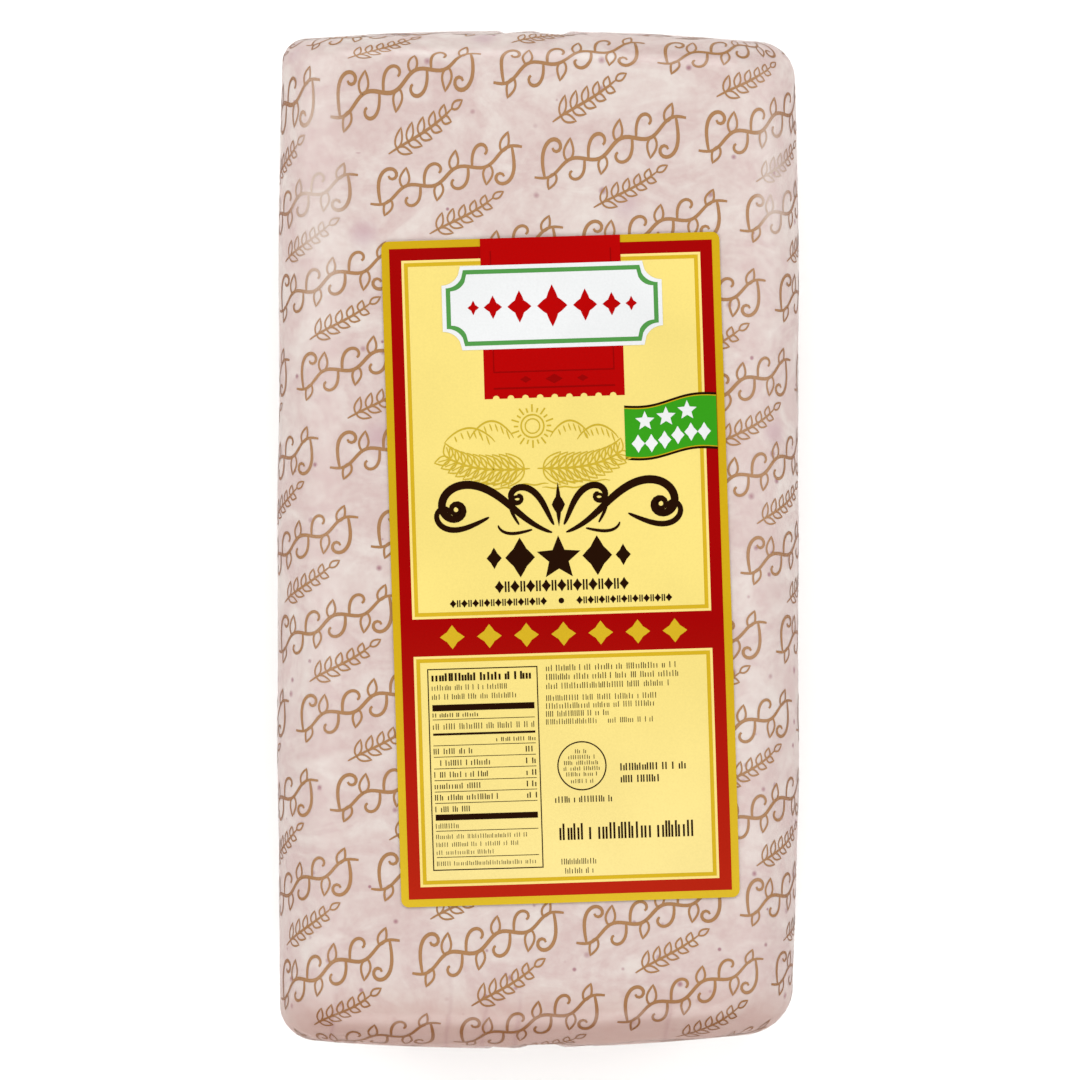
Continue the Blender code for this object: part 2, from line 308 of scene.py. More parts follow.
def skin(around, along):
    """Points of the casing: the body, a quarter round at the edge, the end face drawn in to the neck, the tail.

    Each part moves the section's point in towards the axis while the end's dome gives its distance along Y.
    """
    around, along = np.broadcast_arrays(np.asarray(around, float), np.asarray(along, float))
    around = (around + GIRTH / 2) % GIRTH - GIRTH / 2
    far = along > 0
    outward = np.where(far, 1.0, -1.0)
    gone = np.abs(along)
    bend = np.clip((gone - BODY) / EDGE, 0, 1) * math.pi / 2
    full_x, full_z, normal_x, normal_z = section(around, 0.0)
    off_base = smooth(BASE_NORMAL, OFF_BASE_NORMAL, normal_z)
    taper = from_side_to_side(FAR_TAPER, NEAR_TAPER, full_x, far) * (np.clip(gone, 0, BODY) / BODY) ** 3
    radius = from_side_to_side(FAR_EDGE, NEAR_EDGE, full_x, far)
    inset = radius * (1 - np.cos(bend))
    x, z, _, _ = section(around, taper * off_base + inset)

    crown = TOP_CROWN * np.clip(normal_z, 0, 1) ** 2 * (1 - (full_x / HALF_WIDTH) ** 2)
    crown = crown + SIDE_CROWN * normal_x**2 * (1 - (full_z / HALF_HEIGHT) ** 2)
    fold = pleat(around, gone, far)
    proud = (crown + (waves(around, along, SWELLS) + fold) * off_base) * np.cos(bend)
    x = x + proud * normal_x
    z = z + proud * normal_z

    body_end = end_height(x, z, far) - radius
    stretch = smooth(PLAIN_BODY, BODY, gone) * (body_end - BODY)
    y = np.clip(gone, 0, BODY) + stretch + (radius + fold) * np.sin(bend)

    reach = np.hypot(x, z)
    drawn_in = np.clip((gone - BODY - EDGE) / FACE, 0, 1)
    spread = NECK_RADIUS + (reach - NECK_RADIUS) * (1 - drawn_in)
    tail = gone > NECK_START
    spread = np.where(tail, np.interp(gone, TAIL_PLACES, TAIL_RADII) + fold, spread)
    x, z = x * spread / reach, z * spread / reach

    dimple = DIMPLE_DEPTH * (1 - smooth(DIMPLE_FLOOR, DIMPLE_RIM, spread))
    on_face = end_height(x, z, far) - dimple + fold * np.sin(bend)
    floor = end_height(0.0, 0.0, far) - DIMPLE_DEPTH
    y = np.where(gone > BODY + EDGE, on_face, y)
    y = np.where(tail, floor + np.interp(gone, TAIL_PLACES, TAIL_RISES), y)
    return np.stack([x, outward * y, z + HALF_HEIGHT], axis=-1)


def raised(around, along, lift):
    """The casing's points moved by lift along the cross product of small steps around and along."""
    step = 0.0002
    across = skin(around + step, along) - skin(around - step, along)
    lengthways = skin(around, along + step) - skin(around, along - step)
    normal = np.cross(across, lengthways)
    normal /= np.linalg.norm(normal, axis=-1, keepdims=True)
    return skin(around, along) + np.asarray(lift)[..., None] * normal


def on_casing(design, lift):
    """A flat design in millimetres around and along, carried onto the casing and raised by lift."""
    return raised(design[..., 0] * MM, design[..., 1] * MM, lift)


def on_label(design, lift):
    """A flat design in millimetres from the label's centre, turned with it, carried onto the casing and raised."""
    turn = bpy.context.scene.ham_sizes.label_turn
    p, q = design[..., 0] * MM, design[..., 1] * MM
    around = LABEL_CENTRE[0] + p * math.cos(turn) - q * math.sin(turn)
    along = LABEL_CENTRE[1] + p * math.sin(turn) + q * math.cos(turn)
    return raised(around, along, lift)


def on_print(design, lift):
    """The same from the middle of the label's printed design, which lies a little off the label's centre."""
    return on_label(design + PRINT_MIDDLE, lift)


def grid_faces(rows, columns, closed):
    """Four corner numbers for each cell of a grid of points; closed joins the last column to the first."""
    index = np.arange(rows * columns).reshape(rows, columns)
    right = np.roll(index, -1, axis=1)
    if not closed:
        index, right = index[:, :-1], right[:, :-1]
    return np.stack([index[:-1], right[:-1], right[1:], index[1:]], axis=-1).reshape(-1, 4)


def mesh_of(name, groups, closed=False):
    """One mesh of groups of points, each group (..., rows, columns, 3), with a grid of faces on every sheet.

    Each sheet's corner numbers are those of the first sheet plus the number of points before it.
    """
    corners = []
    faces = []
    used = 0
    for points in groups:
        rows, columns = points.shape[-3:-1]
        sheets = points.size // (3 * rows * columns)
        starts = used + rows * columns * np.arange(sheets)
        faces.append((grid_faces(rows, columns, closed)[None] + starts[:, None, None]).reshape(-1, 4))
        corners.append(points.reshape(-1, 3))
        used += sheets * rows * columns
    corners = np.concatenate(corners)
    faces = np.concatenate(faces)
    mesh = bpy.data.meshes.new(name)
    mesh.vertices.add(len(corners))
    mesh.vertices.foreach_set("co", corners.ravel())
    mesh.loops.add(faces.size)
    mesh.loops.foreach_set("vertex_index", faces.ravel())
    mesh.polygons.add(len(faces))
    mesh.polygons.foreach_set("loop_start", np.arange(0, faces.size, 4))
    mesh.update(calc_edges=True)
    return mesh


def sewn(mesh, outwards):
    """Merges the corners that lie on one another, so seams and poles close; outwards turns a closed shell's faces."""
    form = bmesh.new()
    form.from_mesh(mesh)
    bmesh.ops.remove_doubles(form, verts=form.verts, dist=1e-7)
    if outwards:
        bmesh.ops.recalc_face_normals(form, faces=form.faces)
    form.to_mesh(mesh)
    form.free()
    return mesh


def shown(name, mesh, material, replaces=()):
    """An object for the mesh that rides on the loaf, takes the given material and stands for those nodes."""
    mesh.shade_smooth()
    mesh.materials.append(material)
    obj = bpy.data.objects.new(name, mesh)
    bpy.context.scene.collection.objects.link(obj)
    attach(obj, "root")
    if replaces:
        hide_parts(*replaces)
    return obj


def thickened(name, mesh, thickness):
    """The sheet as a closed slab: Solidify outwards, applied, with the rim's edges kept sharp."""
    sheet = bpy.data.objects.new(name, mesh)
    bpy.context.scene.collection.objects.link(sheet)
    thicken = sheet.modifiers.new("thickness", "SOLIDIFY")
    thicken.thickness = thickness
    thicken.offset = 1.0
    slab = bpy.data.meshes.new_from_object(sheet.evaluated_get(bpy.context.evaluated_depsgraph_get()))
    bpy.data.objects.remove(sheet)
    slab.set_sharp_from_angle(angle=math.radians(40))
    return slab


def add(tree, kind, inputs=None, **settings):
    """Adds a shader node with its settings; an input is a value, or a socket that it is linked to."""
    node = tree.nodes.new("ShaderNode" + kind)
    for key, value in settings.items():
        setattr(node, key, value)
    for key, value in (inputs or {}).items():
        if isinstance(value, bpy.types.NodeSocket):
            tree.links.new(value, node.inputs[key])
        else:
            node.inputs[key].default_value = value
    return node


def new_material(name):
    """An empty material, its tree of nodes, and the place in metres that the nodes work from."""
    material = bpy.data.materials.new(name)
    material.use_nodes = True
    tree = material.node_tree
    tree.nodes.clear()
    return material, tree, add(tree, "TexCoord").outputs["Object"]


def finished(material, tree, surface):
    """The material with that shader on its output."""
    add(tree, "OutputMaterial", {"Surface": surface.outputs[0]})
    return material


def maths(tree, operation, *values, clamp=False):
    """A sum, product or other function of numbers."""
    return add(tree, "Math", dict(enumerate(values)), operation=operation, use_clamp=clamp).outputs[0]


def vector_maths(tree, operation, *values, output=0):
    """The same of vectors."""
    return add(tree, "VectorMath", dict(enumerate(values)), operation=operation).outputs[output]


def remap(tree, value, start, end, low=0.0, high=1.0, eased=False):
    """The value's range from start to end carried onto low to high and held there beyond, eased or straight."""
    inputs = {"Value": value, "From Min": start, "From Max": end, "To Min": low, "To Max": high}
    curve = "SMOOTHSTEP" if eased else "LINEAR"
    return add(tree, "MapRange", inputs, interpolation_type=curve).outputs[0]


def mixed(tree, share, first, second):
    """The colour at that share of the way from first to second."""
    return add(tree, "Mix", {0: share, 6: first, 7: second}, data_type="RGBA").outputs[2]


def noise(tree, place, scale, detail, roughness=0.5, distortion=0.0):
    """Noise from 0 to 1 with about scale swells to the metre."""
    inputs = {"Vector": place, "Scale": scale, "Detail": detail, "Roughness": roughness, "Distortion": distortion}
    return add(tree, "TexNoise", inputs).outputs["Fac"]


def axis(tree, place, number):
    """x, y or z of the place, as number 0, 1 or 2."""
    return add(tree, "SeparateXYZ", {0: place}).outputs[number]


def nearest_of(tree, distances):
    """The smallest of the distances."""
    nearest = distances[0]
    for distance in distances[1:]:
        nearest = maths(tree, "MINIMUM", nearest, distance)
    return nearest


def near_edge(tree, place, start, end):
    """A share that rises from 0 at y = start to 1 at y = end, and falls back to 0 lower down the near end."""
    towards_end = remap(tree, axis(tree, place, 1), start, end, eased=True)
    high_up = remap(tree, axis(tree, place, 2), HEIGHT - 0.075, HEIGHT - 0.008, eased=True)
    return maths(tree, "MULTIPLY", towards_end, high_up)


def creases(tree, place):
    """Upright folds 1 to 2 mm wide that run from the near end up onto the face and fade out 30 mm from it.

    A fold is one less the distance in x from the nearest of its places, which sway in a sine along the loaf.
    """
    turn = maths(tree, "MULTIPLY", axis(tree, place, 1), 2 * math.pi / 0.034)
    across = maths(tree, "MULTIPLY_ADD", maths(tree, "SINE", turn), 0.0009, axis(tree, place, 0))
    away = [maths(tree, "ABSOLUTE", maths(tree, "SUBTRACT", across, fold_x)) for fold_x in CREASES]
    fold = remap(tree, nearest_of(tree, away), 0.0013, 0.0, eased=True)
    return maths(tree, "MULTIPLY", fold, near_edge(tree, place, -0.130, -0.160))


def pressed_ham(colours):
    """Pressed cooked ham: pale lean with creamy smears, fine dark flecks and a few mauve spots, moist and soft."""
    material, tree, place = new_material("pressed_cooked_ham")
    # Smears of fat 8 to 20 mm across, drawn out a little across the loaf, and the meat's grain, 2 to 4 mm
    drawn = add(tree, "Mapping", {"Vector": place, "Scale": (0.8, 1.25, 1.0), "Rotation": (0, 0, 0.45)}).outputs[0]
    smears = remap(tree, noise(tree, drawn, 48.0, 4.0, 0.60, 1.4), 0.42, 0.64)
    grain = remap(tree, noise(tree, place, 330.0, 2.0, 0.6), 0.35, 0.68, high=0.32)
    fatty = maths(tree, "ADD", maths(tree, "MULTIPLY", smears, 0.66), grain, clamp=True)
    base = mixed(tree, fatty, colours.lean, colours.fat)
    # Flecks 1 to 3 mm across, in cells of 7 mm: most cells have one at the near end, and one in five at the far end
    cells = add(tree, "TexVoronoi", {"Vector": place, "Scale": 145.0}).outputs
    chosen = add(tree, "SeparateColor", {0: cells["Color"]}).outputs
    few = remap(tree, axis(tree, place, 1), -0.15, 0.15, 0.18, 0.80)
    has_fleck = maths(tree, "GREATER_THAN", chosen[0], few)
    radius = remap(tree, chosen[1], 0.0, 1.0, 0.09, 0.22)
    fleck = maths(tree, "MULTIPLY", remap(tree, cells["Distance"], radius, 0.05), has_fleck)
    flecked = mixed(tree, maths(tree, "MULTIPLY", fleck, 0.8), base, colours.fleck)
    # Mauve spots 8 to 10 mm across, in cells of 40 mm
    cells = add(tree, "TexVoronoi", {"Vector": place, "Scale": 25.0}).outputs
    chosen = add(tree, "SeparateColor", {0: cells["Color"]}).outputs
    has_spot = maths(tree, "GREATER_THAN", chosen[0], 0.55)
    spot = maths(tree, "MULTIPLY", remap(tree, cells["Distance"], 0.17, 0.02, high=0.5, eased=True), has_spot)
    spotted = mixed(tree, spot, flecked, colours.bruise)
    # Painted shade: pinker and darker at the near end, where the loaf turns down away from the light, and along the
    # casing's folds there
    near_shaded = mixed(tree, near_edge(tree, place, -0.136, -0.162), spotted, colours.near_end_shade)
    # Painted shade: the shadow of the film's folds, painted darker onto the meat along its creases
    crease_shaded = mixed(tree, maths(tree, "MULTIPLY", creases(tree, place), 0.22), near_shaded, colours.fleck)
    # The film lies on the meat, so the meat mirrors almost nothing of its own
    finish = {"Base Color": crease_shaded, "Roughness": 0.55, "Specular IOR Level": 0.04, "IOR": 1.4}
    return finished(material, tree, add(tree, "BsdfPrincipled", finish))


def casing_film(colours):
    """Clear nylon casing film: it shows the meat, mirrors the lights softly, and turns milky where it is gathered."""
    material, tree, place = new_material("clear_nylon_casing_film")
    gather = add(tree, "Attribute", attribute_name="gather").outputs["Fac"]
    # Slack in the film, 10 to 25 mm across
    height = maths(tree, "MULTIPLY_ADD", creases(tree, place), 0.8, noise(tree, place, 55.0, 1.0, 0.45))
    slack = add(tree, "Bump", {"Height": height, "Strength": 0.35, "Distance": 0.0012}).outputs[0]
    # Fine folds that run in towards the closure, from the direction out of the loaf's axis
    off_axis = vector_maths(tree, "ADD", place, (0.0, 0.0, -HALF_HEIGHT))
    direction = vector_maths(tree, "NORMALIZE", vector_maths(tree, "MULTIPLY", off_axis, (1.0, 0.04, 1.0)))
    folds = noise(tree, direction, 9.0, 2.0)
    height = maths(tree, "MULTIPLY", folds, gather)
    bump = add(tree, "Bump", {"Height": height, "Strength": 0.6, "Distance": 0.0016, "Normal": slack}).outputs[0]
    white = (1.0, 1.0, 1.0, 1.0)
    see_through = add(tree, "BsdfTransparent", {"Color": white}).outputs[0]
    gloss = add(tree, "BsdfGlossy", {"Color": white, "Roughness": 0.32, "Normal": bump}).outputs[0]
    # Share of light that the sheet's two faces mirror together, the same from both sides: 4% head-on, more edge-on
    facing = add(tree, "LayerWeight", {"Blend": 0.5, "Normal": bump}).outputs["Facing"]
    mirrored_share = maths(tree, "MULTIPLY_ADD", maths(tree, "POWER", facing, 5.0), 0.05, 0.035)
    clear = add(tree, "MixShader", {0: mirrored_share, 1: see_through, 2: gloss}).outputs[0]
    # Folded film scatters light back and lets as much through to the meat behind it
    finish = {"Base Color": colours.milky, "Roughness": 0.3, "IOR": 1.5, "Normal": bump}
    white_side = add(tree, "BsdfPrincipled", finish).outputs[0]
    let_through = add(tree, "BsdfTranslucent", {"Color": white}).outputs[0]
    milky = add(tree, "MixShader", {0: 0.5, 1: white_side, 2: let_through}).outputs[0]
    milkiness = maths(tree, "MULTIPLY", gather, remap(tree, folds, 0.3, 0.7, 0.55, 1.25), clamp=True)
    return finished(material, tree, add(tree, "MixShader", {0: milkiness, 1: clear, 2: milky}))


def print_glare_share(tree, place):
    """How far the painted highlight of glare pales the casing's print: 0.55 in the middle of each oval patch, easing
    to 0 at its rim.
    """
    reaches = []
    for x, y, half_x, half_y in PRINT_GLARE_PATCHES:
        off = vector_maths(tree, "SUBTRACT", place, (x, y, 0.0))
        scaled = vector_maths(tree, "MULTIPLY", off, (1 / half_x, 1 / half_y, 0.0))
        reaches.append(vector_maths(tree, "LENGTH", scaled, output=1))
    return remap(tree, nearest_of(tree, reaches), 1.0, 0.2, high=0.55, eased=True)


def printing_ink(name, ink, foot_ink=None, shaded_edge_ink=None, glare_ink=None, roughness=0.24, shine=0.06, spread=0.04):
    """Flexographic ink under varnish: flat and even at a glance, a little thinner here and there, satin.

    spread is the size in metres over which its tone drifts; a fine grain of 0.6 mm stands for the print's screen.
    foot_ink is the tone that it turns to towards the label's foot, where the print is lighter; the next ink is
    painted shade, the tone where the casing turns down at its edges, and the last a painted highlight, the tone where
    glare pales the casing's print.
    """
    material, tree, place = new_material(name)
    drift, screen = noise(tree, place, 1 / spread, 2.0), noise(tree, place, 1600.0, 1.0)
    tone = add(tree, "Mix", {0: 0.35, 2: drift, 3: screen}, data_type="FLOAT").outputs[0]
    value = remap(tree, tone, 0.3, 0.7, 0.94, 1.06)
    if foot_ink:
        ink = mixed(tree, remap(tree, axis(tree, place, 1), -0.025, -0.115), ink, foot_ink)
    if shaded_edge_ink:
        # Painted shade: darker ink where the casing turns down away from the light, from 6.5 to 20 mm below the top
        # face, and at the near end's edge
        at_sides = remap(tree, axis(tree, place, 2), HEIGHT - 0.0065, HEIGHT - 0.020)
        turned_down_shade = maths(tree, "MAXIMUM", at_sides, near_edge(tree, place, -0.138, -0.158))
        ink = mixed(tree, turned_down_shade, ink, shaded_edge_ink)
    # Painted highlight: the print paled towards the fat colour where the lights' glare falls
    if glare_ink:
        ink = mixed(tree, print_glare_share(tree, place), ink, glare_ink)
    toned = add(tree, "HueSaturation", {"Color": ink, "Value": value}).outputs[0]
    finish = {"Base Color": toned, "Roughness": roughness, "Specular IOR Level": shine, "IOR": 1.5}
    return finished(material, tree, add(tree, "BsdfPrincipled", finish))


def drawn_wire(colours):
    """Drawn aluminium wire: bright, with fine lengthways scratches that soften its reflections."""
    material, tree, place = new_material("drawn_aluminium_wire")
    scratches = noise(tree, place, 2500.0, 3.0)
    rough = remap(tree, scratches, 0.0, 1.0, 0.2, 0.42)
    bump = add(tree, "Bump", {"Height": scratches, "Strength": 0.3, "Distance": 0.00005}).outputs[0]
    finish = {"Base Color": colours.wire, "Metallic": 1.0, "Roughness": rough, "Normal": bump}
    return finished(material, tree, add(tree, "BsdfPrincipled", finish))


def matt_ground(colours):
    """Seamless studio paper: pale, matt and very slightly uneven."""
    material, tree, place = new_material("seamless_studio_paper")
    value = remap(tree, noise(tree, place, 3.0, 2.0), 0.0, 1.0, 0.99, 1.01)
    tone = add(tree, "HueSaturation", {"Color": colours.ground, "Value": value}).outputs[0]
    return finished(material, tree, add(tree, "BsdfPrincipled", {"Base Color": tone, "Roughness": 0.9}))


def pairs(x, y):
    """Points of a flat design from their two coordinates."""
    return np.stack([x, y], axis=-1)


def polar(p, q, turn, across, up):
    """Points about p and q in the directions turn, across and up giving their reach."""
    return pairs(p + across * np.cos(turn), q + up * np.sin(turn))


def curl(start, heading, bends, length_mm, count):
    """A path whose curvature runs through the given bends: the heading is their running sum, the path its sum."""
    share = np.linspace(0, 1, count)
    curvature = np.interp(share, np.linspace(0, 1, len(bends)), bends)
    step = length_mm / (count - 1)
    turned = np.concatenate([[0], np.cumsum((curvature[1:] + curvature[:-1]) / 2 * step)])
    angle = math.radians(heading) + turned
    middle = (angle[1:] + angle[:-1]) / 2
    x = start[0] + np.concatenate([[0], np.cumsum(np.cos(middle)) * step])
    y = start[1] + np.concatenate([[0], np.cumsum(np.sin(middle)) * step])
    return pairs(x, y)


def leaf(base, heading, long, wide, count):
    """A pointed closed outline: out along one bowed side and back along the other."""
    share = np.linspace(0, 2, count)
    out = 1 - np.abs(1 - share)
    side = np.where(share < 1, -1.0, 1.0)
    u = long * out
    v = side * wide / 2 * np.sin(math.pi * out**0.8)
    turn = math.radians(heading)
    x = base[0] + u * math.cos(turn) - v * math.sin(turn)
    y = base[1] + u * math.sin(turn) + v * math.cos(turn)
    return pairs(x, y)


def pen(count, thin, thick):
    """Stroke widths that swell from thin at the ends to thick in the middle."""
    return thin + (thick - thin) * np.sqrt(np.sin(math.pi * np.linspace(0, 1, count)))


def stroke(path, widths):
    """A ribbon of the given widths: two points at each place of the path, half a width to its left and right."""
    ahead = np.gradient(path, axis=0)
    ahead /= np.maximum(np.linalg.norm(ahead, axis=-1, keepdims=True), 1e-9)
    left = np.stack([-ahead[:, 1], ahead[:, 0]], axis=-1)
    half = (np.asarray(widths) / 2 * np.ones(len(path)))[:, None]
    return np.stack([path + left * half, path - left * half], axis=1)


def scroll_motif(thick):
    """The casing's large motif: a waving stem with curls and leaves, the same again after half a turn."""
    thin = thick * 0.6
    u = np.linspace(-25.5, 25.5, 44)
    strokes = [stroke(pairs(u, 1.5 * np.sin(2 * math.pi * u / 17)), pen(44, thin, thick))]
    curls = (
        (curl((-22.5, -1.2), 82, (-0.01, -0.06, -0.20, -0.55, -0.90), 20, 24), thick),
        (curl((-7.5, -0.6), 76, (-0.02, -0.16, -0.42, -0.80), 13, 20), thick * 0.9),
        (curl((8.8, 0.2), 74, (-0.02, -0.18, -0.50, -0.90), 11.5, 18), thick * 0.85),
    )
    for path, widest in curls:
        strokes += [stroke(half, pen(len(path), thin, widest)) for half in (path, -path)]
    leaves = (
        leaf((-14.0, 1.2), 62, 6.4, 3.0, 17),
        leaf((2.5, 1.2), 60, 5.8, 2.8, 17),
        leaf((19.0, 1.0), 48, 5.4, 2.6, 17),
    )
    for outline in leaves:
        strokes += [stroke(half, thick * 0.62) for half in (outline, -outline)]
    return strokes


def sprig_motif(thick):
    """The casing's small motif: a straight sprig with paired leaves and one at its tip."""
    stem = curl((-13.0, -1.4), 12, (-0.03, 0.0, 0.02, 0.02), 23, 24)
    strokes = [stroke(stem, pen(24, thick * 0.45, thick))]
    for k, place in enumerate((3, 7, 11, 15, 19)):
        long = 5.4 - 0.5 * k
        strokes.append(stroke(leaf(stem[place], 56, long, 2.1, 13), thick * 0.72))
        strokes.append(stroke(leaf(stem[place], -34, long * 0.92, 2.0, 13), thick * 0.72))
    strokes.append(stroke(leaf(stem[-1], 12, 3.9, 1.9, 13), thick * 0.72))
    return strokes


def repeated(strokes, places, turn):
    """Every stroke at every place, turned by turn degrees: arrays (places, points, two sides, two)."""
    cosine, sine = math.cos(math.radians(turn)), math.sin(math.radians(turn))
    spin = np.array([[cosine, sine], [-sine, cosine]])
    return [(one @ spin)[None] + places[:, None, None, :] for one in strokes]


def motif_places(offset):
    """Places of one motif all over the casing, once round the girth, out to the gathered necks."""
    steps = np.arange(-16, 17)
    on, down = np.meshgrid(steps, steps)
    whole = FIRST_MOTIF + on[..., None] * STEP_ON + down[..., None] * STEP_DOWN
    places = np.concatenate([whole.reshape(-1, 2), (whole + (STEP_ON + STEP_DOWN) / 2).reshape(-1, 2)]) + offset
    half = GIRTH / MM / 2
    inside = (places[:, 0] >= -half) & (places[:, 0] < half) & (np.abs(places[:, 1]) < PRINT_END - 30)
    return places[inside]


def lines_between(low, high, step=GRID_STEP):
    """low, the multiples of step between, and high, so that fields on one another have their lines in common."""
    inner = np.arange(math.floor(low / step) + 1, math.ceil(high / step)) * step
    return np.concatenate([[low], inner[(inner > low + 0.05) & (inner < high - 0.05)], [high]])


def field(left, right, low, high):
    """A rectangle as a grid of points in the label's plane."""
    return pairs(*np.meshgrid(lines_between(left, right), lines_between(low, high, 4.0)))


def between(p, low, high, rows):
    """A field over the places p whose lower and upper edges are the curves low and high."""
    share = np.linspace(0, 1, rows)[:, None]
    q = low + (high - low) * share
    return pairs(np.broadcast_to(p, q.shape), q)


def patch(outline):
    """A filled shape: its outline, anticlockwise and closed, drawn in to its middle."""
    middle = outline[:-1].mean(axis=0)
    return np.stack([outline + (middle - outline) * share for share in (0.0, 0.5, 1.0)])


def lozenge(p, q, wide, tall, bow=0.0):
    """A diamond with sides bowed in by a share of its size."""
    turn = np.linspace(0, 2 * math.pi, 17)
    reach = 1 / (np.abs(np.cos(turn)) + np.abs(np.sin(turn)))
    reach = reach * (1 - bow * np.sin(2 * turn) ** 2)
    return patch(polar(p, q, turn, wide / 2 * reach, tall / 2 * reach))


def star(p, q, tall, points, inner):
    """A star: the radius swings evenly between its tips and its inner corners."""
    steps = np.arange(2 * points + 1)
    radius = np.where(steps % 2 == 0, tall / 2, tall / 2 * inner)
    angle = math.pi / 2 + math.pi * steps / points
    return patch(polar(p, q, angle, radius, radius))


def disc(p, q, radius):
    """A filled circle."""
    return patch(polar(p, q, np.linspace(0, 2 * math.pi, 17), radius, radius))


def ring(p, q, radius, line, count=48):
    """A circle drawn with a line of the given width."""
    return stroke(polar(p, q, np.linspace(0, 2 * math.pi, count + 1), radius, radius), line)


def tick_row(chance, left, right, q, tall, weight=0.13):
    """A line of plain upright ticks in uneven clusters, as tall and as dark as a line of small print.

    Ticks stand at the running sum of uneven steps, with a wider step between clusters, and some are shorter.
    """
    pitch = math.sqrt(1.9 * tall)
    count = int((right - left) / (0.2 * pitch)) + 2
    steps = chance.uniform(0.24, 0.42, count) * pitch * (1 + 1.6 * weight)
    steps = steps + np.where(chance.random(count) < 0.14, 0.5 * pitch, 0.0)
    p = left + np.cumsum(steps) - steps[0]
    p = p[p < right - weight * tall]
    foot = np.full(p.shape, q - tall / 2)
    head = foot + tall * np.where(chance.random(len(p)) < 0.6, 1.0, 0.74)
    sides = pairs(p, p + weight * tall)
    return np.stack([pairs(sides, np.broadcast_to(end[:, None], sides.shape)) for end in (foot, head)], axis=1)


def spread_pieces(name, designs, lift, material, place=on_print):
    """One piece of several flat designs, each (..., rows, columns, 2), carried onto the surface."""
    mesh = mesh_of(name, [place(design, lift + STROKE_STEP * (k % 20)) for k, design in enumerate(designs)])
    return shown(name, sewn(mesh, False), material)


class HAM_OT_meat(bpy.types.Operator):
    """Makes the pressed meat, a film gap under the casing"""

    bl_idname = "ham.meat"
    bl_label = "Meat"

    def execute(self, context):
        """A grid round the section and along the loaf, closed over the gathered necks."""
        sizes = context.scene.ham_sizes
        around = GIRTH * (np.arange(220) / 220 - 0.5)
        half = np.concatenate(
            [
                np.linspace(0, BODY, 40)[1:],
                BODY + EDGE * np.linspace(0, 1, 13)[1:],
                BODY + EDGE + (FACE - 0.002) * np.linspace(0, 1, 25)[1:],
            ]
        )
        along = np.concatenate([-half[::-1], [0.0], half])
        points = raised(around[None, :], along[:, None], -sizes.film_gap)
        first = np.broadcast_to(points[:1].mean(axis=1, keepdims=True), points[:1].shape)
        last = np.broadcast_to(points[-1:].mean(axis=1, keepdims=True), points[-1:].shape)
        mesh = mesh_of("meat", [np.concatenate([first, points, last])], closed=True)
        shown("meat", sewn(mesh, True), pressed_ham(context.scene.ham_colours), ["wrapped_ham"])
        return {"FINISHED"}


class HAM_OT_casing(bpy.types.Operator):
    """Makes the clear casing film with its gathers and tails"""

    bl_idname = "ham.casing"
    bl_label = "Casing film"

    def execute(self, context):
        """The casing's surface out to the tips; gather runs from 0 on the body to 1 at the neck and tail."""
        around = GIRTH * (np.arange(320) / 320 - 0.5)
        half = np.concatenate(
            [
                np.linspace(0, BODY, 44)[1:],
                BODY + EDGE * np.linspace(0, 1, 15)[1:],
                BODY + EDGE + FACE * np.linspace(0, 1, 41)[1:],
                NECK_START + (LIP_START - NECK_START) * np.linspace(0, 1, 13)[1:],
                LIP_START + (TIP - LIP_START) * np.linspace(0, 1, 8)[1:-1],
            ]
        )
        along = np.concatenate([-half[::-1], [0.0], half])
        points = skin(around[None, :], along[:, None])
        near = np.broadcast_to(skin(0.0, -TIP), points[:1].shape)
        far = np.broadcast_to(skin(0.0, TIP), points[:1].shape)
        points = np.concatenate([near, points, far])
        mesh = sewn(mesh_of("casing_film", [points], closed=True), True)
        at = np.empty(len(mesh.vertices) * 3)
        mesh.vertices.foreach_get("co", at)
        at = at.reshape(-1, 3)
        reach = np.hypot(at[:, 0], at[:, 2] - HALF_HEIGHT)
        on_end = smooth(HALF_LENGTH - 0.024, HALF_LENGTH - 0.014, np.abs(at[:, 1]))
        gather = on_end * (1 - smooth(0.004, 0.046, reach)) ** 2.0
        mesh.attributes.new("gather", "FLOAT", "POINT").data.foreach_set("value", gather)
        shown("casing_film", mesh, casing_film(context.scene.ham_colours), ["wrapped_ham"])
        return {"FINISHED"}


class HAM_OT_casing_print(bpy.types.Operator):
    """Prints the slanting rows of scrolls and sprigs on the casing"""

    bl_idname = "ham.casing_print"
    bl_label = "Casing print"

    def execute(self, context):
        """Scrolls at the lattice's places and sprigs half a step on from them, all slanting up to the right."""
        sizes = context.scene.ham_sizes
        colours = context.scene.ham_colours
        # The edge tone is painted shade, and the fat colour is a painted highlight of glare on the print
        inks = (colours.casing_ink, None, colours.shaded_edge_ink, colours.fat)
        ink = printing_ink("brown_casing_ink", *inks, roughness=0.45, spread=0.02)
        sets = (
            ("casing_scrolls", scroll_motif(sizes.large_stroke / MM), np.zeros(2)),
            ("casing_sprigs", sprig_motif(sizes.small_stroke / MM), STEP_ON / 2),
        )
        for name, strokes, offset in sets:
            designs = repeated(strokes, motif_places(offset), MOTIF_TURN)
            spread_pieces(name, designs, -sizes.casing_print, ink, on_casing)
        return {"FINISHED"}


